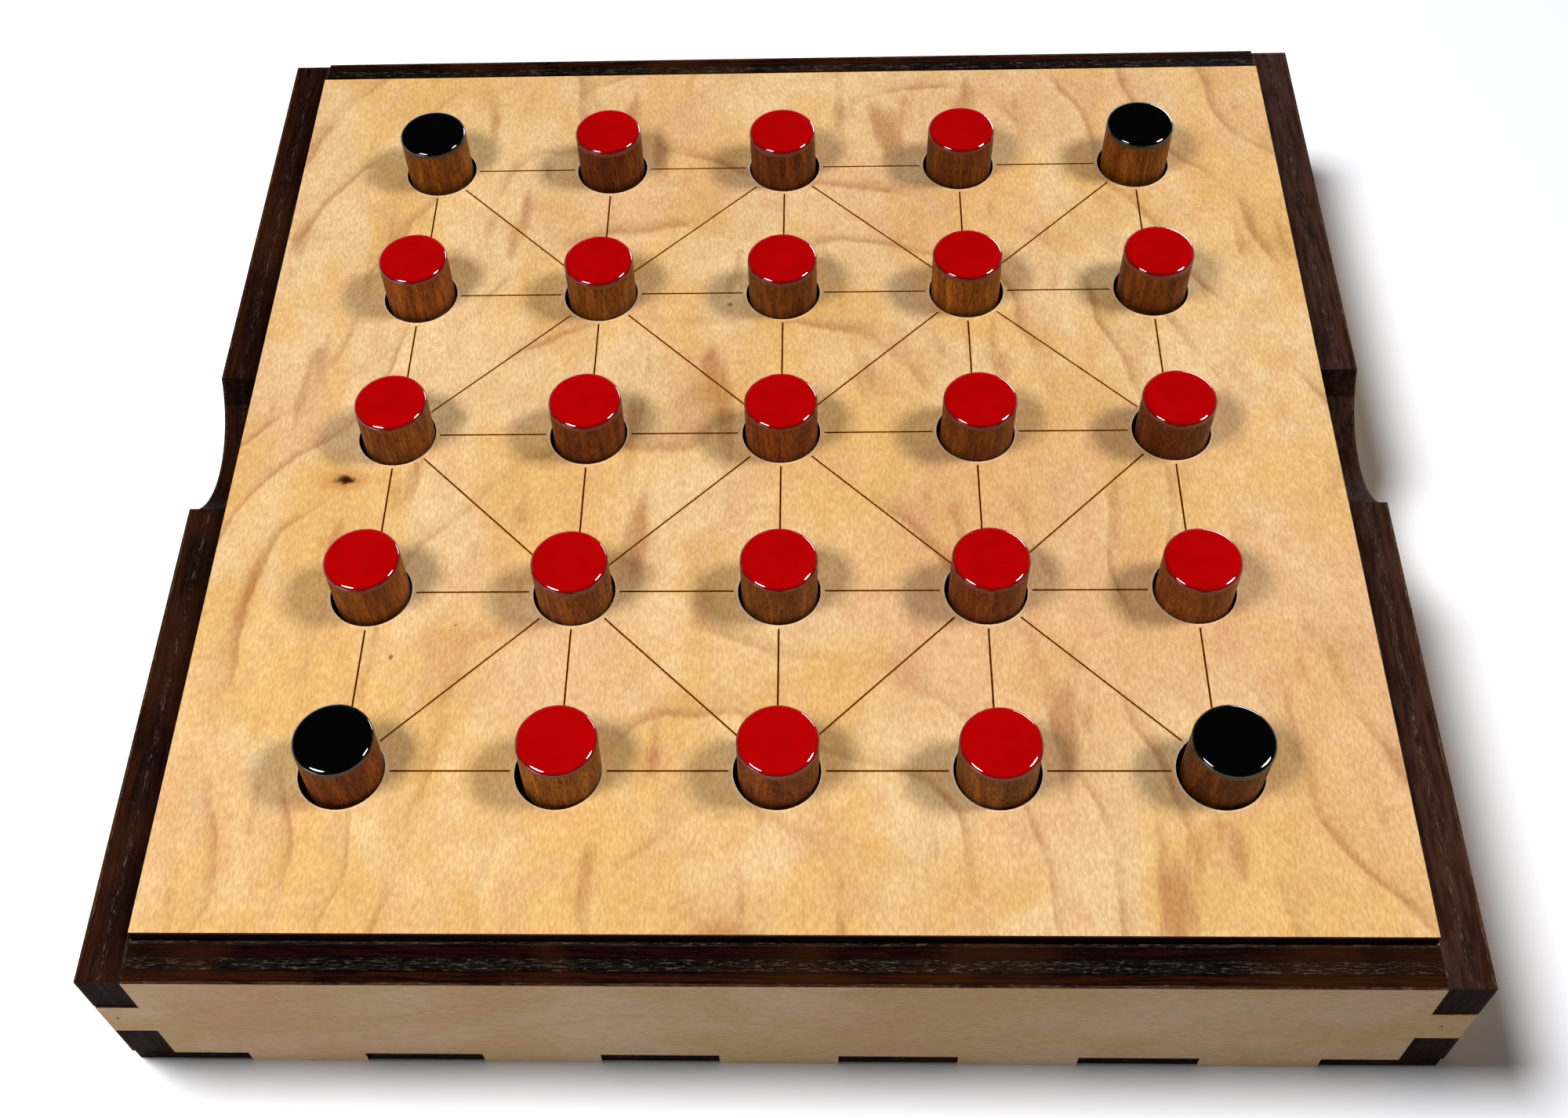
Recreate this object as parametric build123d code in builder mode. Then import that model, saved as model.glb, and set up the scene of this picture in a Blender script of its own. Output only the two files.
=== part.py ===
from build123d import *
import os

# Bagh chal set: a finger-jointed plywood box, a lift-out playing board with 25 peg holes,
# and 25 dowel pegs. Millimetres, +Z up, origin at the centre of the underside.

# Box
box_side = 203.2  # outside, square
wall_height = 30.3  # from the table to the walls' top edges
wall_thickness = 6.8
sheet_thickness = 3.2  # base panel
finger_bands = 3  # corner fingers over the height above the base
edge_segments = 11  # tabs and notches along each bottom edge
finger_setback = 0.2  # fingers stop short of the face they pass through
back_setback = 0.7  # the side walls' fingers stop further short of the back face
base_setback = 0.3  # so do the base panel's tabs
scoop_chord = 29.8  # finger scoop, measured along the wall's top edge
scoop_reach = 0.9  # scoop's floor below the board's underside
block_side = 14.0  # square corner blocks that carry the board
block_chamfer = 5.0

# Board
board_clearance = 0.35  # between the board's edges and the walls
board_proud = 2.0  # playing face above the walls' top edges
panel_thickness = 6.5
backing_thickness = 3.2
backing_inset = 0.2
grid_count = 5  # holes along each side
grid_margin = 27.45  # from the board's edge to the outer hole centres
grid_shift = 0.5  # the pattern lies this much nearer the front
groove_width = 0.3
groove_depth = 0.3
groove_gap = 0.7  # scored lines stop this far from a hole's rim

# Pegs
peg_diameter = 12.4
peg_length = 15.9
peg_clearance = 0.55  # all round a peg in its hole

# Places worked out from the sizes above
half_side = box_side / 2
inner_side = box_side - 2 * wall_thickness
segment = box_side / edge_segments
band = (wall_height - sheet_thickness) / finger_bands
board_side = inner_side - 2 * board_clearance
board_top = wall_height + board_proud
panel_bottom = board_top - panel_thickness
board_bottom = panel_bottom - backing_thickness
grid_pitch = (board_side - 2 * grid_margin) / (grid_count - 1)
hole_diameter = peg_diameter + 2 * peg_clearance
scoop_floor = board_bottom - scoop_reach
scoop_depth = wall_height - scoop_floor
scoop_radius = (scoop_chord**2 / 4 + scoop_depth**2) / (2 * scoop_depth)
line_inset = hole_diameter / 2 + groove_gap

os.makedirs("parts", exist_ok=True)


def save(piece, name):
    piece.label = name
    export_step(piece, f"parts/{name}.step")


def segment_centres(first):
    """Middles of every other bottom-edge segment, counted from the left corner."""
    return [(i + 0.5) * segment - half_side for i in range(first, edge_segments, 2)]


def band_centres(first):
    """Heights of the middles of every other corner finger, counted from the base panel."""
    return [sheet_thickness + (i + 0.5) * band for i in range(first, finger_bands, 2)]


def wall_outline(first_band, far_setback):
    """A wall seen square on: a middle field, its corner fingers, and tabs through the base panel."""
    Rectangle(inner_side, wall_height, align=(Align.CENTER, Align.MIN))
    middle = (finger_setback - far_setback) / 2
    with Locations(*[(middle, height) for height in band_centres(first_band)]):
        Rectangle(box_side - finger_setback - far_setback, band)
    notches = [(x, 0) for x in segment_centres(0)]
    with Locations(*notches):
        Rectangle(segment, sheet_thickness, align=(Align.CENTER, Align.MIN), mode=Mode.SUBTRACT)


def grid_points():
    """Hole centres by row, from the front row to the back row."""
    middle = (grid_count - 1) / 2
    return [
        [((column - middle) * grid_pitch, (row - middle) * grid_pitch - grid_shift) for column in range(grid_count)]
        for row in range(grid_count)
    ]


# Front and back walls hold the middle finger of each corner.
for name, side in (("front_wall", -1), ("back_wall", 1)):
    with BuildPart() as end_wall:
        with BuildSketch(Plane.XZ.offset(-side * half_side)):
            wall_outline(first_band=1, far_setback=finger_setback)
        extrude(amount=side * wall_thickness)
    save(end_wall.part, name)

# Left and right walls hold the top and bottom fingers, and a scoop for a fingertip.
for name, side in (("left_wall", -1), ("right_wall", 1)):
    with BuildPart() as side_wall:
        with BuildSketch(Plane.YZ.offset(side * half_side)):
            wall_outline(first_band=0, far_setback=back_setback)
            with Locations((0, scoop_floor + scoop_radius)):
                Circle(scoop_radius, mode=Mode.SUBTRACT)
        extrude(amount=-side * wall_thickness)
    save(side_wall.part, name)

# Base panel: tabs pass through the walls' bottom edges, and it reaches under all four corners.
with BuildPart() as base_panel:
    with BuildSketch():
        Rectangle(box_side - 2 * base_setback, box_side - 2 * base_setback)
        reach = half_side - wall_thickness / 2
        along = segment_centres(1)
        with Locations(*[(x, side * reach) for x in along for side in (-1, 1)]):
            Rectangle(segment, wall_thickness, mode=Mode.SUBTRACT)
        with Locations(*[(side * reach, y) for y in along for side in (-1, 1)]):
            Rectangle(wall_thickness, segment, mode=Mode.SUBTRACT)
    extrude(amount=sheet_thickness)
save(base_panel.part, "base_panel")

# Corner blocks stand on the base panel, in the angle of two walls, and the board rests on them.
for depth_name, depth_side in (("front", -1), ("back", 1)):
    for width_name, width_side in (("left", -1), ("right", 1)):
        with BuildPart() as block:
            with BuildSketch(Plane.XY.offset(sheet_thickness)):
                corner = (inner_side - block_side) / 2
                with Locations((width_side * corner, depth_side * corner)):
                    Rectangle(block_side, block_side)
            extrude(amount=board_bottom - sheet_thickness)
            chamfer(
                block.edges().filter_by(Axis.Z).sort_by_distance((0, 0, board_bottom))[0],
                length=block_chamfer,
            )
        save(block.part, f"corner_block_{depth_name}_{width_name}")

# Playing panel: 25 through holes joined by scored lines.
rows = grid_points()
last = grid_count - 1
middle = last // 2
straight = [((r, c), (r, c + 1)) for r in range(grid_count) for c in range(last)]
straight += [((r, c), (r + 1, c)) for r in range(last) for c in range(grid_count)]
slanted = [((i, i), (i + 1, i + 1)) for i in range(last)]
slanted += [((i, last - i), (i + 1, last - i - 1)) for i in range(last)]
slanted += [((i, middle - i), (i + 1, middle - i - 1)) for i in range(middle)]
slanted += [((i, middle + i), (i + 1, middle + i + 1)) for i in range(middle)]
slanted += [((middle + i, i), (middle + i + 1, i + 1)) for i in range(middle)]
slanted += [((middle + i, last - i), (middle + i + 1, last - i - 1)) for i in range(middle)]

with BuildPart() as playing_panel:
    with BuildSketch(Plane.XY.offset(panel_bottom)):
        Rectangle(board_side, board_side)
        with Locations(*[point for row in rows for point in row]):
            Circle(hole_diameter / 2, mode=Mode.SUBTRACT)
    extrude(amount=panel_thickness)
    with BuildSketch(Plane.XY.offset(board_top)):
        for (row_a, column_a), (row_b, column_b) in straight + slanted:
            start = Vector(*rows[row_a][column_a])
            end = Vector(*rows[row_b][column_b])
            span = end - start
            turn = Vector(1, 0).get_signed_angle(span, Vector(0, 0, 1))
            with Locations(Location((start + end) / 2, (0, 0, turn))):
                Rectangle(span.length - 2 * line_inset, groove_width)
    extrude(amount=-groove_depth, mode=Mode.SUBTRACT)
save(playing_panel.part, "playing_panel")

# Backing sheet: closes the holes from below, so that every peg stands at one height.
with BuildPart() as backing_sheet:
    with BuildSketch(Plane.XY.offset(board_bottom)):
        Rectangle(board_side - 2 * backing_inset, board_side - 2 * backing_inset)
    extrude(amount=backing_thickness)
save(backing_sheet.part, "backing_sheet")

# Pegs: four tigers stand in the corner holes, goats in all the others.
counts = {"tiger": 0, "goat": 0}
for row_number, row in enumerate(rows):
    for column_number, (x, y) in enumerate(row):
        at_corner = row_number in (0, last) and column_number in (0, last)
        kind = "tiger" if at_corner else "goat"
        counts[kind] += 1
        with BuildPart() as peg:
            with BuildSketch(Plane(origin=(x, y, panel_bottom))):
                Circle(peg_diameter / 2)
            extrude(amount=peg_length)
        save(peg.part, f"{kind}_peg_{counts[kind]:02d}")
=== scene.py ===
import math
import random

import bmesh
import bpy
from mathutils import Matrix, Vector


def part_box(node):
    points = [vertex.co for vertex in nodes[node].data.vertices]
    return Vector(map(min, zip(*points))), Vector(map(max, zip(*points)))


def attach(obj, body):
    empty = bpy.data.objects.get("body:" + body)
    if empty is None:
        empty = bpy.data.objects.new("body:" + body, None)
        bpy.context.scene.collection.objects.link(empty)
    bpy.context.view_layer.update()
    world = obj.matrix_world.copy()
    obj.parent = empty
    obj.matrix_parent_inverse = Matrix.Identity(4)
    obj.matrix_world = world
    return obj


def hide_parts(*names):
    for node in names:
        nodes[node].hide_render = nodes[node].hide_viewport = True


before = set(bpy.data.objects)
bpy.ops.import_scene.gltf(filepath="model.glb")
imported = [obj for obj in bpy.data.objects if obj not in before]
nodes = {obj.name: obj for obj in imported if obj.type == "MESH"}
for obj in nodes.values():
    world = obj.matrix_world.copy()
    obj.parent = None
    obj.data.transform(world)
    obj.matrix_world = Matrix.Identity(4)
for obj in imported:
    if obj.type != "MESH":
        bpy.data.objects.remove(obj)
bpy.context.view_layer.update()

# Bagh chal set: materials for the CAD pieces, a turned and enamelled piece for each peg, and the studio.
# Lengths are in metres unless a name ends in _mm. Materials work in millimetres.
MM = 0.001
X, Y, Z = 0, 1, 2
FACING_COSINE = 0.7  # a face counts as square to an axis when its normal lies nearer to it than this
GRID_COUNT = 5  # holes along each side
GRID_MIDDLE = GRID_COUNT // 2
HOLE_RADIUS_MM = 6.75  # as the playing panel has it

# Marks that the photograph shows
KNOT_MM = (-74.9, -10.4)
PIN_MARKS_MM = [(-99.3, -101.6, 17.1), (97.5, -101.6, 16.8)]

# Pieces and sizes read from the frame
panel_low, panel_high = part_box("playing_panel")
sheet_low, sheet_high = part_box("backing_sheet")
wall_low, wall_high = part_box("front_wall")
board_top_mm = panel_high[Z] / MM
panel_mm = (panel_high[Z] - panel_low[Z]) / MM
sheet_mm = (sheet_high[Z] - sheet_low[Z]) / MM
wall_mm = (wall_high[Y] - wall_low[Y]) / MM
base_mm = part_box("base_panel")[1][Z] / MM
half_mm = -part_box("left_wall")[0][X] / MM
peg_nodes = sorted(name for name in nodes if "_peg_" in name)
peg_top_mm = max(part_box(name)[1][Z] for name in peg_nodes) / MM
peg_middles = {name: (Vector(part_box(name)[0]) + Vector(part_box(name)[1])) / 2 for name in peg_nodes}
peg_xs = [middle.x for middle in peg_middles.values()]
hole_pitch = (max(peg_xs) - min(peg_xs)) / (GRID_COUNT - 1)
grid_middle_y = sum(middle.y for middle in peg_middles.values()) / len(peg_middles)


# Colour and node helpers

def srgb(red, green, blue):
    """A colour as it reads on screen, 0 to 255, as the linear colour that the shaders use."""
    def linear(value):
        value /= 255
        return value / 12.92 if value <= 0.04045 else ((value + 0.055) / 1.055) ** 2.4
    return (linear(red), linear(green), linear(blue), 1.0)


def grey(value):
    """A neutral linear colour."""
    return (value, value, value, 1.0)


class Nodes:
    """A node tree, built by small calls that return sockets."""

    def __init__(self, tree):
        self.tree = tree
        self.tree.nodes.clear()

    def node(self, kind, inputs=None, **settings):
        made = self.tree.nodes.new(kind)
        for key, value in settings.items():
            setattr(made, key, value)
        for key, value in (inputs or {}).items():
            self.plug(made.inputs[key], value)
        return made

    def plug(self, socket, value):
        if isinstance(value, bpy.types.NodeSocket):
            self.tree.links.new(value, socket)
        else:
            socket.default_value = value

    # Vectors

    def place_mm(self):
        """Object coordinates in millimetres."""
        where = self.node("ShaderNodeTexCoord").outputs["Object"]
        return self.scale(where, (1 / MM, 1 / MM, 1 / MM))

    def scale(self, vector, factors):
        return self.node("ShaderNodeVectorMath", {0: vector, 1: factors}, operation="MULTIPLY").outputs[0]

    def shift(self, vector, offset):
        return self.node("ShaderNodeVectorMath", {0: vector, 1: offset}, operation="ADD").outputs[0]

    def length(self, vector):
        return self.node("ShaderNodeVectorMath", {0: vector}, operation="LENGTH").outputs["Value"]

    def split(self, vector):
        return self.node("ShaderNodeSeparateXYZ", {0: vector}).outputs

    def join(self, x, y, z):
        return self.node("ShaderNodeCombineXYZ", {0: x, 1: y, 2: z}).outputs[0]

    def facing(self, axis):
        """1 on faces square to the axis (0, 1, 2 for x, y, z), 0 on the others."""
        normal = self.node("ShaderNodeNewGeometry").outputs["True Normal"]
        return self.math("GREATER_THAN", self.math("ABSOLUTE", self.split(normal)[axis]), FACING_COSINE)

    # Numbers

    def math(self, operation, a, b=0.0):
        return self.node("ShaderNodeMath", {0: a, 1: b}, operation=operation).outputs[0]

    def add(self, a, b):
        return self.math("ADD", a, b)

    def subtract(self, a, b):
        return self.math("SUBTRACT", a, b)

    def multiply(self, a, b):
        return self.math("MULTIPLY", a, b)

    def divide(self, a, b):
        return self.math("DIVIDE", a, b)

    def hypotenuse(self, a, b):
        return self.math("SQRT", self.add(self.math("POWER", a, 2.0), self.math("POWER", b, 2.0)))

    def from_line(self, coordinate, spacing):
        """Distance from the nearest of evenly spaced lines, one of them at 0."""
        inputs = {0: coordinate, 1: spacing / 2, 2: -spacing / 2}
        wrapped = self.node("ShaderNodeMath", inputs, operation="WRAP").outputs[0]
        return self.math("ABSOLUTE", wrapped)

    def band(self, value, low, high, out_low=0.0, out_high=1.0, smooth=True):
        """out_low up to low, out_high from high on, and a smooth or straight change between them."""
        made = self.node("ShaderNodeMapRange", {0: value, 1: low, 2: high, 3: out_low, 4: out_high})
        made.interpolation_type = "SMOOTHSTEP" if smooth else "LINEAR"
        return made.outputs[0]

    def spread(self, noise, out_low, out_high, smooth=True):
        """A noise, which mostly lies between 0.3 and 0.7, spread from out_low to out_high."""
        return self.band(noise, 0.3, 0.7, out_low, out_high, smooth)

    def noise(self, where, scale=1.0, detail=3.0, roughness=0.5, distortion=0.0, moved=None):
        """Noise from 0 to 1. scale is one number, or one for each axis, and moved shifts the pattern."""
        factors = scale if isinstance(scale, tuple) else (scale, scale, scale)
        vector = self.scale(where, factors)
        if moved is not None:
            vector = self.shift(vector, moved)
        inputs = {
            "Vector": vector, "Scale": 1.0,
            "Detail": detail, "Roughness": roughness, "Distortion": distortion}
        return self.node("ShaderNodeTexNoise", inputs).outputs["Fac"]

    # Colours and mixes

    def ramp(self, value, stops):
        made = self.node("ShaderNodeValToRGB", {0: value})
        elements = made.color_ramp.elements
        while len(elements) < len(stops):
            elements.new(0.5)
        for element, (position, colour) in zip(elements, stops):
            element.position = position
            element.color = colour
        return made.outputs[0]

    def mix(self, amount, a, b, blend="MIX"):
        made = self.node("ShaderNodeMix", {0: amount, 6: a, 7: b}, data_type="RGBA", blend_type=blend)
        return made.outputs[2]

    def blend_value(self, amount, a, b):
        return self.node("ShaderNodeMix", {0: amount, 2: a, 3: b}, data_type="FLOAT").outputs[0]

    def blend_vector(self, amount, a, b):
        return self.node("ShaderNodeMix", {0: amount, 4: a, 5: b}, data_type="VECTOR").outputs[1]


class Shader(Nodes):
    """A material and its node tree."""

    def __init__(self, name):
        self.material = bpy.data.materials.new(name)
        self.material.use_nodes = True
        super().__init__(self.material.node_tree)

    def bump(self, height, strength, distance_mm):
        inputs = {"Height": height, "Strength": strength, "Distance": distance_mm * MM}
        return self.node("ShaderNodeBump", inputs).outputs[0]

    def finish(self, colour, roughness, normal, specular=0.5):
        surface = self.node("ShaderNodeBsdfPrincipled", {
            "Base Color": colour, "Roughness": roughness, "Normal": normal, "Specular IOR Level": specular})
        self.node("ShaderNodeOutputMaterial", {"Surface": surface.outputs[0]})
        return self.material


# Plywood

BOARD_HEART_MM = (-8.0, -120.0, 32.0)  # middle of the playing panel's ring figure
SHEET_HEART_MM = (60.0, -80.0, -70.0)
RING_SPACING_MM = 12.0
RING_SQUEEZE = 0.5  # distances along the grain count this much, so the rings are longer that way


def maple_colours(pale):
    """The four tones of maple veneer, from warm and varnished (pale 0) to dull and bare (pale 1)."""
    warm = (srgb(240, 203, 149), srgb(235, 188, 119), srgb(229, 176, 129), srgb(170, 104, 52))
    bare = (srgb(210, 180, 157), srgb(196, 170, 136), srgb(212, 166, 146), srgb(166, 128, 104))
    return [tuple(pale * b + (1 - pale) * w for b, w in zip(*pair)) for pair in zip(bare, warm)]


def maple_face(shader, where, grain_axis, pale, seed, heart_mm, figure=1.0):
    """Rotary-cut maple veneer: its colour, and the fibres that its relief follows.

    grain_axis is the axis that the fibres follow, heart_mm the middle of the long arched ring figure, and
    figure how strongly the figure and the mottle show.
    """
    light, golden, pink, line = maple_colours(pale)
    offset = (seed * 137.0, seed * 71.0, seed * 29.0)
    where = shader.shift(where, offset)

    def grained(across, along):
        """The scales of a noise that is drawn out along the grain."""
        factors = [across, across, across]
        factors[grain_axis] = along
        return tuple(factors)

    # Growth rings, peeled almost flat: long arches round one heart. Each has a thin dark front that fades
    # one way.
    out = shader.shift(where, [-heart_mm[axis] - offset[axis] for axis in (X, Y, Z)])
    reach = shader.length(shader.scale(out, grained(1.0, RING_SQUEEZE)))
    sway = shader.noise(where, 0.016, detail=1.0)
    ripple = shader.noise(where, 0.055, detail=1.5)
    teeth = shader.noise(where, grained(0.7, 0.22), detail=2.0)
    field = shader.divide(reach, RING_SPACING_MM)
    for wave, size in ((sway, 3.6), (ripple, 0.55), (teeth, 0.07)):
        field = shader.add(field, shader.multiply(wave, size))
    phase = shader.math("FRACT", field)
    rise = shader.band(phase, 0.0, 0.07)
    front = shader.multiply(rise, shader.band(phase, 0.06, 0.2, 1.0, 0.0))
    wash = shader.multiply(rise, shader.math("POWER", shader.subtract(1.0, phase), 3.0))
    ring = shader.add(shader.multiply(front, 0.34), shader.multiply(wash, 0.22))
    presence = shader.noise(where, 0.035, detail=2.0, moved=(5.0, 2.0, 8.0))
    faded = shader.band(presence, 0.4, 0.62, 0.06 * figure, 1.0 * figure)
    # Golden and pinkish clouds, broad ones and patches about a centimetre across.
    drift = shader.noise(where, (0.02, 0.016, 0.02), detail=2.0)
    clouds = shader.noise(where, grained(0.055, 0.04), distortion=0.4)
    patches = shader.noise(where, grained(0.14, 0.09), detail=2.0, distortion=0.3)
    colour = shader.mix(shader.band(clouds, 0.38, 0.62), light, golden)
    pinkness = shader.add(
        shader.band(drift, 0.44, 0.64, 0.0, 0.45), shader.band(patches, 0.52, 0.68, 0.0, 0.38))
    colour = shader.mix(pinkness, colour, pink)
    colour = shader.mix(shader.multiply(ring, faded), colour, line)
    # Soft brown streaks along the grain, here and there.
    streaks = shader.noise(where, grained(0.13, 0.03), moved=(7.0, 13.0, 3.0))
    colour = shader.mix(shader.band(streaks, 0.58, 0.72, 0.0, 0.55 * figure), colour, line)
    # Short fibres along the grain and two soft mottles, each stronger in green and blue than in red.
    fibres = shader.noise(where, grained(2.4, 0.8), detail=2.0, roughness=0.6)
    blotches = shader.noise(where, grained(0.5, 0.3))
    haze = shader.noise(where, grained(0.2, 0.12), detail=1.0)
    tone = shader.spread(fibres, 0.92 - 0.055 * figure, 1.05 + 0.045 * figure)
    mottle = shader.spread(blotches, 1 - 0.045 * figure, 1 + 0.035 * figure)
    soft = shader.spread(haze, 1 - 0.025 * figure, 1 + 0.02 * figure)
    for shade, powers in ((tone, (0.66, 1.3, 2.0)), (mottle, (0.9, 1.3, 1.8)), (soft, (1.0, 1.4, 1.7))):
        tint = shader.join(*[shader.math("POWER", shade, power) for power in powers])
        colour = shader.mix(1.0, colour, tint, blend="MULTIPLY")
    # A few mineral specks.
    specks = shader.noise(shader.shift(where, (31.0, 17.0, 5.0)), (0.42, 0.3, 0.42), detail=1.0)
    colour = shader.mix(shader.band(specks, 0.8, 0.86, 0.0, 0.7), colour, srgb(110, 64, 30))
    return colour, fibres


def ply_edge(shader, across, where, along_axis, seed, core, worn=0.0):
    """Laser-burnt edge of five-ply sheet: its colour and relief.

    across runs 0 to 1 through the sheet, from its outer face. core is 1 where the middle ply is cut
    across its grain and looks grey and scratched, 0 where it is as dark as the others. worn is how much
    of the burnt brown is rubbed paler.
    """
    where = shader.shift(where, (seed * 53.0, seed * 19.0, seed * 7.0))
    ends = shader.facing(along_axis)

    def along(fine, coarse, shift=(0.0, 0.0, 0.0)):
        """Coordinates drawn out along the edge, or upwards on the sheet's end faces."""
        factors = [fine, fine, fine]
        factors[along_axis] = coarse
        moved = shader.shift(where, shift)
        lengthwise = shader.scale(moved, factors)
        upwards = shader.scale(moved, (fine, fine, coarse))
        return shader.blend_vector(ends, lengthwise, upwards)

    streaks = shader.noise(along(2.2, 0.1), roughness=0.6)
    hairs = shader.noise(along(4.2, 0.6, (11.0, 3.0, 23.0)), detail=2.0, roughness=0.6, distortion=0.8)
    patches = shader.noise(where, 0.05, detail=2.0)
    wobble = shader.noise(where, 0.12, roughness=0.6)
    layer = shader.add(across, shader.spread(wobble, -0.015, 0.015, smooth=False))
    veneer, glue, inner = srgb(70, 42, 30), srgb(2, 1, 1), srgb(40, 32, 28)
    brown, maroon = srgb(46, 17, 5), srgb(32, 7, 5)
    dark_core, grey_core = srgb(34, 9, 7), srgb(23, 19, 16)
    middle = tuple(core * g + (1 - core) * d for g, d in zip(grey_core, dark_core))
    colour = shader.ramp(layer, [
        (0.0, veneer), (0.06, veneer), (0.085, glue), (0.12, brown), (0.29, brown), (0.32, glue),
        (0.345, middle), (0.61, middle), (0.635, glue), (0.66, maroon), (0.87, maroon), (0.9, glue),
        (0.93, inner), (1.0, inner)])
    colour = shader.mix(shader.band(streaks, 0.4, 0.6, 0.8, 0.0), colour, srgb(5, 2, 2))
    colour = shader.mix(shader.band(patches, 0.46, 0.66, 0.0, 0.4), colour, srgb(62, 32, 10))
    rubbed = shader.noise(along(1.1, 0.14, (4.0, 9.0, 2.0)), roughness=0.55)
    colour = shader.mix(shader.band(rubbed, 0.35, 0.65, 0.3 * worn, worn), colour, srgb(92, 62, 50))
    # Pale torn fibres: in the veneers, and where the core is cut across its grain or has a ragged glue line.
    full, little, some, ragged = grey(0.75), grey(0.05), grey(0.1 + 0.6 * core), grey(0.85 - 0.25 * core)
    torn_plies = shader.ramp(layer, [
        (0.0, full), (0.06, full), (0.08, little), (0.33, little), (0.36, some), (0.46, some), (0.49, ragged),
        (0.54, ragged), (0.57, some), (0.6, some), (0.63, little), (0.93, little), (0.95, full)])
    torn = shader.multiply(shader.band(hairs, 0.54, 0.68, 0.0, 0.8), torn_plies)
    colour = shader.mix(torn, colour, srgb(112, 92, 76))
    # The end faces are burnt nearly black, with the plies as upright stripes.
    burnt = shader.mix(0.6, colour, srgb(4, 2, 2))
    colour = shader.mix(ends, colour, burnt)
    relief = shader.add(streaks, shader.multiply(hairs, 0.5))
    return colour, relief


def sheet_material(name, axis, outer_mm, thickness_mm, grain_axis, pale, seed,
                   core=1.0, worn=0.0, marks_mm=()):
    """Plywood sheet: maple veneer on its two faces, burnt plies on every cut edge.

    axis is the one across the sheet, outer_mm the place of its outer face on that axis, and marks_mm the
    places of pin marks on its face. pale and seed go to the veneer, core and worn to the plies.
    """
    shader = Shader(name)
    where = shader.place_mm()
    face_colour, fibres = maple_face(shader, where, grain_axis, pale, seed, SHEET_HEART_MM, figure=0.2)
    # Each pin mark is a little wider than it is high.
    for mark in marks_mm:
        out = shader.scale(shader.shift(where, [-value for value in mark]), (1.0, 1.0, 1.3))
        reach = shader.length(out)
        # Painted highlight: a pale ring round each pin mark, then the mark's dark middle.
        face_colour = shader.mix(shader.band(reach, 0.3, 0.9, 0.5, 0.0), face_colour, srgb(196, 176, 150))
        face_colour = shader.mix(shader.band(reach, 0.2, 0.42, 0.9, 0.0), face_colour, srgb(52, 36, 28))
    depth = shader.math("ABSOLUTE", shader.subtract(shader.split(where)[axis], outer_mm))
    across = shader.divide(depth, thickness_mm)
    edge_colour, relief = ply_edge(shader, across, where, grain_axis, seed, core, worn)
    on_face = shader.facing(axis)
    colour = shader.mix(on_face, edge_colour, face_colour)
    edge_roughness = shader.band(relief, 0.5, 1.1, 0.45, 0.7)
    roughness = shader.blend_value(on_face, edge_roughness, shader.spread(fibres, 0.66, 0.58))
    height = shader.blend_value(on_face, relief, shader.multiply(fibres, 0.25))
    return shader.finish(colour, roughness, shader.bump(height, 0.6, 0.1), specular=0.01)


# Playing panel

KNOT_STRETCH = 1.9  # the knot is this much longer across the grain
STAIN = (1.0, 0.86, 0.6, 1.0)  # what is left of each colour beside a scored line
STAIN_MM = (0.16, 0.36)  # from a line's middle: where the stain starts to fade, and where it ends
STAIN_STOP_MM = 0.6  # the stain stops this far from a hole's rim
STAIN_PAST_MM = 0.25  # the stain ends this far past the outermost lines' middles
RIM_HIGHLIGHT_MM = (0.12, 0.42)  # from a hole's rim: where the painted highlight starts to fade, and where it ends
RIM_HIGHLIGHT_PAST_MM = 8.0  # no painted highlight lies further than this past the outermost lines' middles
SCORE_MM = (0.05, 0.5)  # below the playing face: the scored lines' floors, 0.3 mm deep, lie between


def knot(shader, colour, where, x, y):
    """One small pin knot, with a stained eye round it."""
    across = shader.divide(shader.subtract(x, KNOT_MM[X]), KNOT_STRETCH)
    reach = shader.hypotenuse(across, shader.subtract(y, KNOT_MM[Y]))
    ragged = shader.add(reach, shader.spread(shader.noise(where, detail=2.0), -0.3, 0.3))
    colour = shader.mix(shader.band(ragged, 1.2, 3.6, 0.55, 0.0), colour, srgb(206, 134, 62))
    return shader.mix(shader.band(ragged, 0.2, 1.5, 1.0, 0.0), colour, srgb(60, 22, 8))


def cut_marks(shader, colour, x, y):
    """What the laser leaves on the face, and a painted highlight round each hole.

    Amber stain lies beside each scored line, and a thin pale ring of painted highlight lies round each hole's
    rim.
    """
    pitch = hole_pitch / MM
    half_grid = GRID_MIDDLE * pitch
    grid_y = shader.subtract(y, grid_middle_y / MM)
    column_off, row_off = shader.from_line(x, pitch), shader.from_line(grid_y, pitch)
    from_hole = shader.hypotenuse(column_off, row_off)
    from_score = shader.math("MINIMUM", column_off, row_off)
    for operation in ("ADD", "SUBTRACT"):
        slant_off = shader.from_line(shader.math(operation, x, grid_y), 2 * pitch)
        from_score = shader.math("MINIMUM", from_score, shader.divide(slant_off, math.sqrt(2)))
    reach = shader.math("MAXIMUM", shader.math("ABSOLUTE", x), shader.math("ABSOLUTE", grid_y))
    scored = shader.multiply(shader.math("LESS_THAN", reach, half_grid + STAIN_PAST_MM),
                             shader.math("GREATER_THAN", from_hole, HOLE_RADIUS_MM + STAIN_STOP_MM))
    stain = shader.multiply(shader.band(from_score, *STAIN_MM, 1.0, 0.0), scored)
    colour = shader.mix(stain, colour, STAIN, blend="MULTIPLY")
    # Painted highlight: a thin pale ring round each hole's rim.
    highlight_start, highlight_end = [HOLE_RADIUS_MM + width for width in RIM_HIGHLIGHT_MM]
    rim_highlight = shader.multiply(shader.band(from_hole, highlight_start, highlight_end, 0.4, 0.0),
                          shader.math("LESS_THAN", reach, half_grid + RIM_HIGHLIGHT_PAST_MM))
    return shader.mix(rim_highlight, colour, srgb(240, 222, 206))


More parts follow.
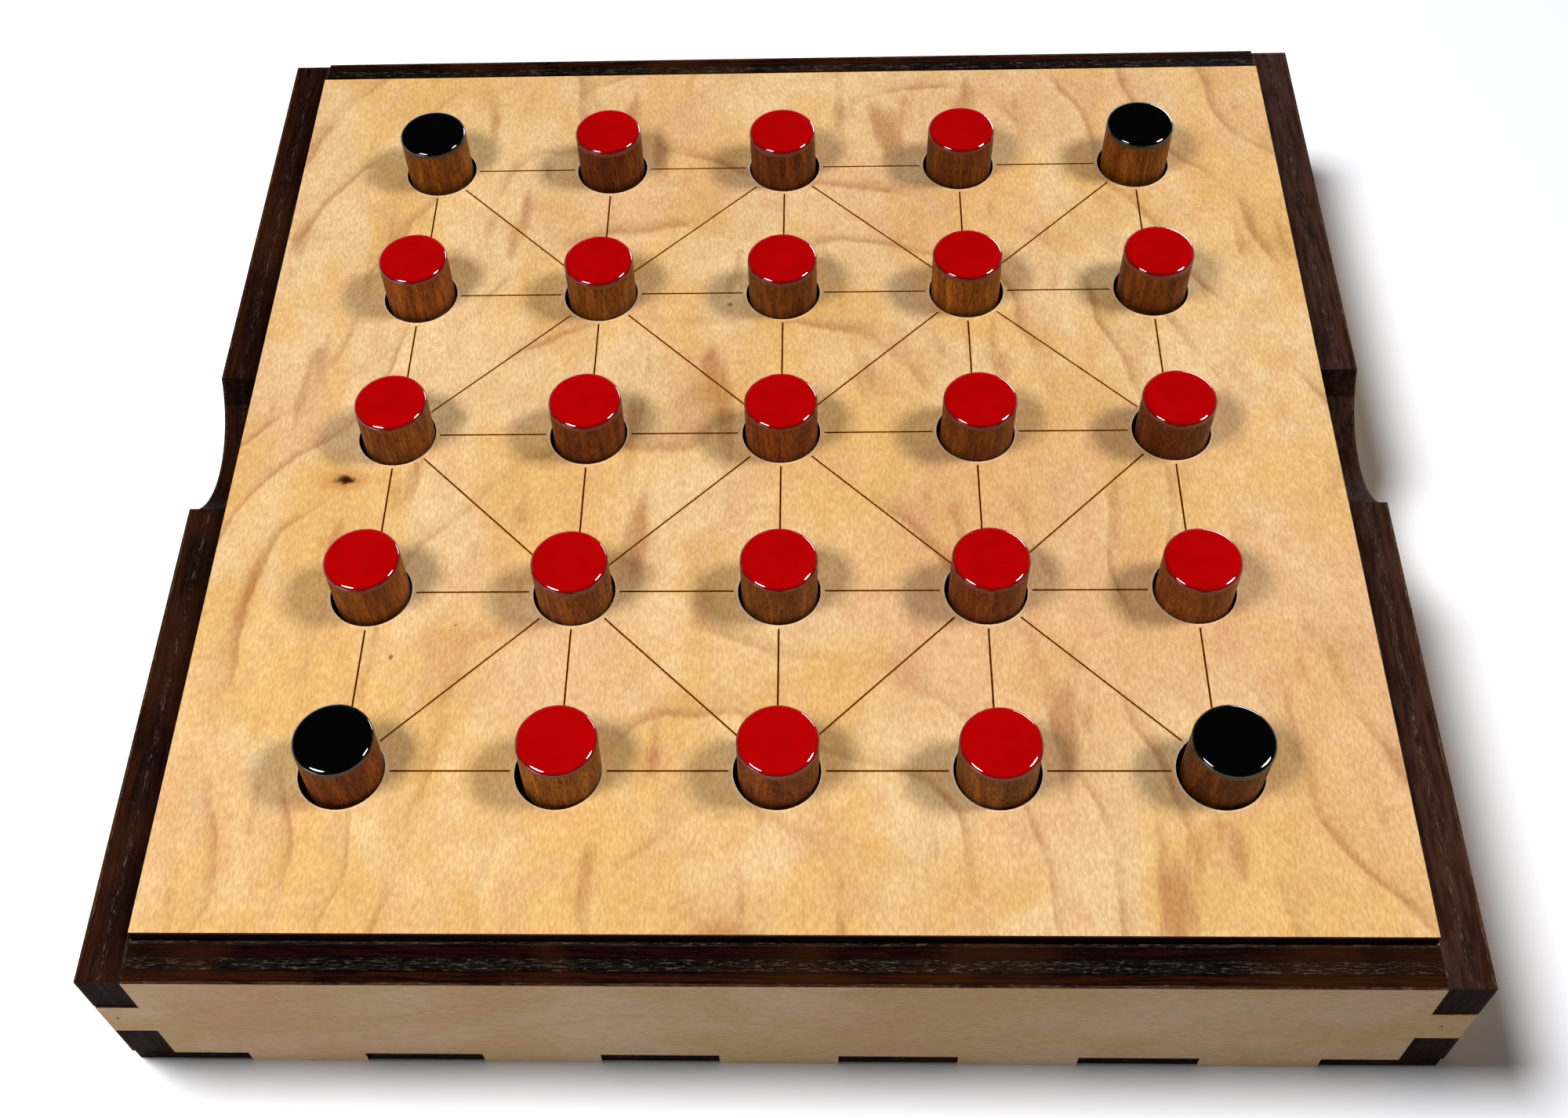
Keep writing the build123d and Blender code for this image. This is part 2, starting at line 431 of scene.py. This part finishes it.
def board_material():
    """The playing panel: maple face, burnt hole walls, burnt scored lines and burnt outer edges."""
    shader = Shader("maple_board")
    where = shader.place_mm()
    x, y, z = shader.split(where)
    face_colour, fibres = maple_face(shader, where, Y, 0.0, 1.0, BOARD_HEART_MM)
    face_colour = knot(shader, face_colour, where, x, y)
    face_colour = cut_marks(shader, face_colour, x, y)
    across = shader.divide(shader.subtract(board_top_mm, z), panel_mm)
    edge_colour, relief = ply_edge(shader, across, where, X, 2.0, 0.3)
    # The hole walls and the panel's edges are burnt darker than the box's edges.
    edge_colour = shader.mix(0.6, edge_colour, srgb(6, 3, 3))
    score_tone = shader.noise(where, 0.4, detail=2.0)
    score_colour = shader.mix(score_tone, srgb(104, 42, 8), srgb(152, 78, 22))
    sunk = shader.math("LESS_THAN", z, board_top_mm - SCORE_MM[0])
    shallow = shader.math("GREATER_THAN", z, board_top_mm - SCORE_MM[1])
    on_top = shader.multiply(shader.facing(Z), shader.subtract(1.0, sunk))
    colour = shader.mix(on_top, edge_colour, face_colour)
    colour = shader.mix(shader.multiply(sunk, shallow), colour, score_colour)
    roughness = shader.blend_value(on_top, 0.65, shader.spread(fibres, 0.58, 0.48))
    height = shader.blend_value(on_top, relief, shader.multiply(fibres, 0.22))
    return shader.finish(colour, roughness, shader.bump(height, 0.5, 0.1), specular=0.06)


# Dowels, enamel and blocks

def dowel_material():
    """Dark oiled dowel with upright grain and open pores.

    Each peg's mesh carries its own tone and redness, 0 to 1.
    """
    shader = Shader("dowel_wood")
    where = shader.place_mm()
    tone = shader.node("ShaderNodeAttribute", attribute_name="tone").outputs["Fac"]
    redness = shader.node("ShaderNodeAttribute", attribute_name="redness").outputs["Fac"]
    grain = shader.noise(where, (0.55, 0.55, 0.06), detail=4.0, roughness=0.62, distortion=0.4)
    lines = shader.noise(where, (1.7, 1.7, 0.16), roughness=0.6, distortion=0.3)
    pores = shader.noise(where, (4.2, 4.2, 0.9), detail=2.0, roughness=0.6)
    pale = shader.mix(redness, shader.mix(tone, srgb(98, 48, 10), srgb(176, 110, 36)),
                      shader.mix(tone, srgb(88, 27, 7), srgb(154, 80, 26)))
    dark = shader.mix(redness, shader.mix(tone, srgb(54, 20, 1), srgb(112, 54, 5)),
                      shader.mix(tone, srgb(44, 8, 2), srgb(94, 36, 5)))
    colour = shader.mix(shader.band(grain, 0.38, 0.6, 0.0, 0.7), pale, dark)
    colour = shader.mix(shader.band(lines, 0.45, 0.6, 0.0, 0.6), colour, dark)
    colour = shader.mix(shader.band(pores, 0.53, 0.63, 0.0, 0.55), colour, srgb(26, 9, 2))
    # Painted shade: the wood is darkened towards the hole, where the peg goes down into it.
    low = shader.band(shader.split(where)[Z], board_top_mm - 0.5, board_top_mm + 3.0, 0.35, 0.0)
    colour = shader.mix(low, colour, srgb(26, 8, 4))
    roughness = shader.band(pores, 0.35, 0.65, 0.45, 0.62)
    height = shader.subtract(1.0, shader.band(pores, 0.48, 0.66))
    return shader.finish(colour, roughness, shader.bump(height, 0.35, 0.08), specular=0.12)


def enamel_material(name, colour, deep, painted_side_shade):
    """Thick glossy enamel with a faint orange peel.

    It thins on the peg's side, where the gloss is lost, and there its colour is darkened to a painted shade.
    """
    shader = Shader(name)
    where = shader.place_mm()
    height = shader.split(where)[Z]

    def side_band(low_mm, high_mm):
        """1 further than low_mm below the pegs' tops, fading to 0 at high_mm below them."""
        return shader.band(height, peg_top_mm - low_mm, peg_top_mm - high_mm, 1.0, 0.0)

    cloud = shader.noise(where, 0.25, detail=2.0)
    peel = shader.noise(where, 0.5, detail=2.0)
    body = shader.mix(shader.band(cloud, 0.35, 0.7, 0.0, 0.5), colour, deep)
    # Painted shade: the colour darkens down the peg's side, below the top's rounded edge.
    body = shader.mix(side_band(0.52, 0.02), body, painted_side_shade)
    roughness = shader.blend_value(side_band(0.85, 0.4), shader.spread(cloud, 0.03, 0.06), 0.55)
    return shader.finish(body, roughness, shader.bump(peel, 0.08, 0.1), specular=0.85)


def block_material():
    """Plain sanded block wood inside the box."""
    shader = Shader("block_wood")
    where = shader.place_mm()
    grain = shader.noise(where, (0.35, 0.35, 0.04), detail=4.0, roughness=0.6, distortion=0.5)
    fibres = shader.noise(where, (3.0, 3.0, 0.35))
    colour = shader.mix(shader.band(grain, 0.35, 0.65), srgb(214, 178, 126), srgb(186, 142, 92))
    colour = shader.mix(shader.band(fibres, 0.5, 0.7, 0.0, 0.3), colour, srgb(140, 100, 60))
    return shader.finish(colour, shader.spread(fibres, 0.6, 0.5), shader.bump(fibres, 0.4, 0.08))


def dress(node, material):
    """Give a CAD node its material."""
    mesh = nodes[node].data
    mesh.materials.clear()
    mesh.materials.append(material)


wall = {"thickness_mm": wall_mm, "pale": 0.7}
front_ply = sheet_material("ply_front", Y, -half_mm, grain_axis=X, seed=3.0, marks_mm=PIN_MARKS_MM, **wall)
back_ply = sheet_material("ply_back", Y, half_mm, grain_axis=X, seed=4.0, **wall)
left_ply = sheet_material("ply_left", X, -half_mm, grain_axis=Y, seed=5.0, core=0.1, worn=0.08, **wall)
right_ply = sheet_material("ply_right", X, half_mm, grain_axis=Y, seed=6.0, core=0.3, worn=0.4, **wall)
base_ply = sheet_material("ply_base", Z, 0.0, base_mm, grain_axis=X, pale=0.8, seed=7.0)
backing_mm = sheet_low[Z] / MM
backing_ply = sheet_material("ply_backing", Z, backing_mm, sheet_mm, grain_axis=Y, pale=0.8, seed=8.0)
dress("front_wall", front_ply)
dress("back_wall", back_ply)
dress("left_wall", left_ply)
dress("right_wall", right_ply)
dress("base_panel", base_ply)
dress("backing_sheet", backing_ply)
dress("playing_panel", board_material())
block = block_material()
for name in nodes:
    if name.startswith("corner_block"):
        dress(name, block)


# Pegs: turned dowels with enamelled tops, each a little different and leaning a little in its loose hole

AROUND = 72  # facets round a peg
CROWN_STEPS = 6  # facets over the enamel's rounded edge
CROWN_WIDTH = 1.1 * MM
CROWN_HEIGHT = 0.75 * MM
COAT = 0.04 * MM  # the enamel's thickness on the peg's side
LIP_HEIGHT = 0.24 * MM  # over which the coat thickens from its edge
TOP_ROWS = [(0.7, 0.03 * MM), (0.35, 0.05 * MM)]  # share of the radius, and rise: the top domes a little
TOP_RISE = 0.055 * MM
FOOT_ROWS = [(0.4 * MM, 0.0), (0.1 * MM, 0.12 * MM), (0.0, 0.4 * MM)]  # in from the side, and up
PAINT_DEPTHS_MM = (1.0, 1.45)  # least and most
WAVE_COUNTS = (1, 2, 3, 5, 8)  # waves of the paint's edge round a peg
WAVE_SIZES_MM = (0.03, 0.14)
FOOT_SHARE = 0.35  # of the top's shift, at the foot
FIRST_SEED = 40

dowel = dowel_material()
red_enamel = enamel_material("red_enamel", srgb(186, 0, 2), srgb(168, 0, 1), srgb(104, 0, 1))
black_enamel = enamel_material("black_enamel", srgb(2, 2, 2), srgb(0, 0, 0), srgb(1, 0, 0))


def peg_profile(radius, height, paint_edge):
    """Two lists of (radius, height), from the foot to the top: the wood, and the enamel above paint_edge."""
    edge = min(paint_edge, height - CROWN_HEIGHT - LIP_HEIGHT)
    wood = [(radius - inset, up) for inset, up in FOOT_ROWS] + [(radius, edge * 0.5), (radius, edge)]
    outer = radius + COAT
    enamel = [(radius + COAT * 0.6, edge + LIP_HEIGHT * 0.45)]
    for step in range(CROWN_STEPS + 1):
        turn = math.pi / 2 * step / CROWN_STEPS
        inset, drop = CROWN_WIDTH * (1 - math.cos(turn)), CROWN_HEIGHT * (1 - math.sin(turn))
        enamel.append((outer - inset, height - drop))
    enamel += [(radius * share, height + rise) for share, rise in TOP_ROWS]
    return wood, enamel


def turned(radius, height, paint_line):
    """A bmesh of one upright peg on the origin. Its faces have material 0 on the wood, 1 on the enamel."""
    build = bmesh.new()
    columns = []
    for index in range(AROUND):
        angle = math.tau * index / AROUND
        wood, enamel = peg_profile(radius, height, paint_line(angle))
        profile = wood + enamel
        columns.append([build.verts.new((r * math.cos(angle), r * math.sin(angle), z)) for r, z in profile])
    foot_middle = build.verts.new((0, 0, 0))
    top_middle = build.verts.new((0, 0, height + TOP_RISE))

    def face(corners, material):
        made = build.faces.new(corners)
        made.material_index = material
        made.smooth = True

    for index in range(AROUND):
        here, there = columns[index], columns[(index + 1) % AROUND]
        for row in range(len(here) - 1):
            face((here[row], there[row], there[row + 1], here[row + 1]), 0 if row < len(wood) - 1 else 1)
        face((foot_middle, there[0], here[0]), 0)
        face((top_middle, here[-1], there[-1]), 1)
    return build


def peg_piece(node, enamel, top_shift_mm, seed):
    """A peg in place of its CAD node.

    top_shift_mm moves its top end to the right and away, as a lean in the loose hole.
    """
    draw = random.Random(seed)
    low, high = [Vector(corner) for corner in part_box(node)]
    centre = (low + high) / 2
    radius = (high.x - low.x) / 2
    height = high.z - low.z
    waves = []
    for count in WAVE_COUNTS:
        size = draw.uniform(*WAVE_SIZES_MM) * MM / count ** 0.5
        waves.append((count, size, draw.uniform(0, math.tau)))
    paint_depth = draw.uniform(*PAINT_DEPTHS_MM) * MM
    tone, redness = draw.random(), draw.random()

    def paint_line(angle):
        wave = sum(size * math.sin(count * angle + turn) for count, size, turn in waves)
        return height - paint_depth + wave

    mesh = bpy.data.meshes.new(node + "_turned")
    piece = bpy.data.objects.new("peg_" + node, mesh)
    bpy.context.scene.collection.objects.link(piece)
    build = turned(radius, height, paint_line)
    # The foot stays where the hole lets it, and the top goes a little further the same way.
    top_shift = Vector((top_shift_mm[X], top_shift_mm[Y], 0)) * MM
    foot_shift = top_shift * FOOT_SHARE
    lean = Matrix.Identity(4)
    lean[X][Z] = (top_shift.x - foot_shift.x) / height
    lean[Y][Z] = (top_shift.y - foot_shift.y) / height
    seat = Matrix.Translation(Vector((centre.x, centre.y, low.z)) + foot_shift)
    build.transform(seat @ lean @ Matrix.Rotation(draw.uniform(0, math.tau), 4, "Z"))
    bmesh.ops.recalc_face_normals(build, faces=build.faces)
    build.to_mesh(mesh)
    build.free()
    for attribute, value in (("tone", tone), ("redness", redness)):
        layer = mesh.attributes.new(attribute, "FLOAT", "POINT")
        layer.data.foreach_set("value", [value] * len(mesh.vertices))
    mesh.materials.append(dowel)
    mesh.materials.append(enamel)
    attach(piece, node)
    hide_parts(node)
    return piece


# How far each peg's top stands off its hole's middle, in mm to the right and away.
# The rows run from the back to the front.
LEANS_MM = [
    [(-0.3, 0.6), (-0.1, 0.6), (-0.3, 0.0), (0.1, -0.2), (0.3, 0.7)],
    [(0.0, 0.6), (0.4, -0.4), (0.0, -0.4), (-0.3, 0.1), (0.3, 0.5)],
    [(0.5, -0.2), (0.3, -0.2), (0.1, -0.6), (0.2, -0.6), (0.0, -0.6)],
    [(0.2, 0.2), (0.2, -0.5), (0.1, -0.2), (0.2, -0.2), (-0.2, -0.6)],
    [(0.6, 0.4), (0.8, 0.2), (0.3, 0.1), (-0.2, -0.3), (0.4, 0.1)],
]


def board_cell(node):
    """(row from the back, column from the left) of the hole that a peg stands in."""
    middle = peg_middles[node]
    row = round((grid_middle_y - middle.y) / hole_pitch) + GRID_MIDDLE
    return row, round(middle.x / hole_pitch) + GRID_MIDDLE


for number, node in enumerate(peg_nodes):
    is_tiger = node.startswith("tiger")
    row, column = board_cell(node)
    enamel = black_enamel if is_tiger else red_enamel
    piece = peg_piece(node, enamel, LEANS_MM[row][column], FIRST_SEED + number)


# Floor, backdrop and lamps

FLOOR_HALF = 3.0
FLOOR_SHADOW_MM = 250.0  # the object's shadow ends within this distance of the middle
FLOOR_WHITE_MM = 600.0  # and from here on the floor is white
WHITE = (1, 1, 1)
DAYLIGHT = (0.8, 0.9, 1.0)

# Each lamp's name, direction from the origin, distance, width, depth, power in watts, and colour
OBJECT_LAMPS = [
    ("left_light", (-0.56, -0.35, 0.92), 0.75, 0.27, 0.18, 3.3, WHITE),
    ("right_light", (0.66, 0.02, 0.74), 1.5, 0.42, 0.35, 14.5, WHITE),
    ("front_fill", (-0.75, -0.65, 0.12), 0.6, 0.3, 0.2, 0.46, WHITE),
    ("window_light", (0.5, 0.84, 0.14), 0.75, 0.3, 0.14, 2.0, DAYLIGHT),
]
FLOOR_LAMP = ("floor_light", (-0.45, 0.06, 1.0), 1.1, 0.4, 0.4, 18.4, WHITE)


def floor_material():
    """Pale floor that reads as white to the camera and keeps the object's shadow."""
    shader = Shader("studio_floor")
    path = shader.node("ShaderNodeLightPath")
    seen = shader.math("MAXIMUM", path.outputs["Is Camera Ray"], path.outputs["Is Glossy Ray"])
    tint = shader.mix(seen, grey(0.33), (0.83, 0.84, 0.87, 1))
    diffuse = shader.node("ShaderNodeBsdfDiffuse", {"Color": tint}).outputs[0]
    away = shader.length(shader.place_mm())
    strength = shader.multiply(seen, shader.band(away, FLOOR_SHADOW_MM, FLOOR_WHITE_MM, 0.04, 1.0))
    glow = shader.node("ShaderNodeEmission", {"Color": grey(1), "Strength": strength}).outputs[0]
    both = shader.node("ShaderNodeAddShader", {0: diffuse, 1: glow}).outputs[0]
    shader.node("ShaderNodeOutputMaterial", {"Surface": both})
    return shader.material


def make_floor():
    """A level square at the object's underside, far wider than the object."""
    corners = [(-FLOOR_HALF, -FLOOR_HALF, 0), (FLOOR_HALF, -FLOOR_HALF, 0),
               (FLOOR_HALF, FLOOR_HALF, 0), (-FLOOR_HALF, FLOOR_HALF, 0)]
    mesh = bpy.data.meshes.new("studio_floor")
    mesh.from_pydata(corners, [], [(0, 1, 2, 3)])
    mesh.materials.append(floor_material())
    floor = bpy.data.objects.new("studio_floor", mesh)
    bpy.context.scene.collection.objects.link(floor)
    return floor


def make_world():
    """Dark overhead and brighter low down, with a white backdrop for the camera."""
    world = bpy.data.worlds.new("studio")
    bpy.context.scene.world = world
    world.use_nodes = True
    sky = Nodes(world.node_tree)
    height = sky.split(sky.node("ShaderNodeTexCoord").outputs["Generated"])[Z]
    glow = sky.ramp(height, [(0.12, grey(0.13)), (0.55, grey(0.012))])
    studio = sky.node("ShaderNodeBackground", {"Color": glow}).outputs[0]
    white = sky.node("ShaderNodeBackground", {"Color": grey(1)}).outputs[0]
    seen = sky.node("ShaderNodeLightPath").outputs["Is Camera Ray"]
    either = sky.node("ShaderNodeMixShader", {0: seen, 1: studio, 2: white}).outputs[0]
    sky.node("ShaderNodeOutputWorld", {"Surface": either})


def soft_light(name, direction, distance, width, depth, power, colour):
    """An oval lamp that faces the origin. Its width lies level, and its depth across that."""
    data = bpy.data.lights.new(name, "AREA")
    data.shape = "ELLIPSE"
    data.size = width
    data.size_y = depth
    data.energy = power
    data.color = colour
    lamp = bpy.data.objects.new(name, data)
    bpy.context.scene.collection.objects.link(lamp)
    towards = Vector(direction).normalized()
    lamp.location = towards * distance
    lamp.rotation_euler = towards.to_track_quat("Z", "Y").to_euler()
    lamp.visible_camera = False
    return lamp


floor = make_floor()
make_world()

# Two soft lamps, a low fill and a low window light the object, and another lamp lights the floor alone.
floor_only = bpy.data.collections.new("floor_only")
floor_only.objects.link(floor)
not_floor = bpy.data.collections.new("not_floor")
not_floor.objects.link(floor)
not_floor.collection_objects[0].light_linking.link_state = "EXCLUDE"
for settings in OBJECT_LAMPS:
    soft_light(*settings).light_linking.receiver_collection = not_floor
soft_light(*FLOOR_LAMP).light_linking.receiver_collection = floor_only

# The camera that the photograph was taken with, solved from the hole grid and the box's edges.
camera_data = bpy.data.cameras.new("photo_camera")
camera_data.sensor_width = 36
camera_data.lens = 41.324
camera_data.shift_x = 0.02119
camera_data.shift_y = 0.03644
camera = bpy.data.objects.new("photo_camera", camera_data)
camera.location = (0.00679, -0.20239, 0.27201)
camera.rotation_euler = (math.radians(34.304), math.radians(1.954), math.radians(1.106))
bpy.context.scene.collection.objects.link(camera)
bpy.context.scene.camera = camera
bpy.context.scene.view_settings.view_transform = "Standard"
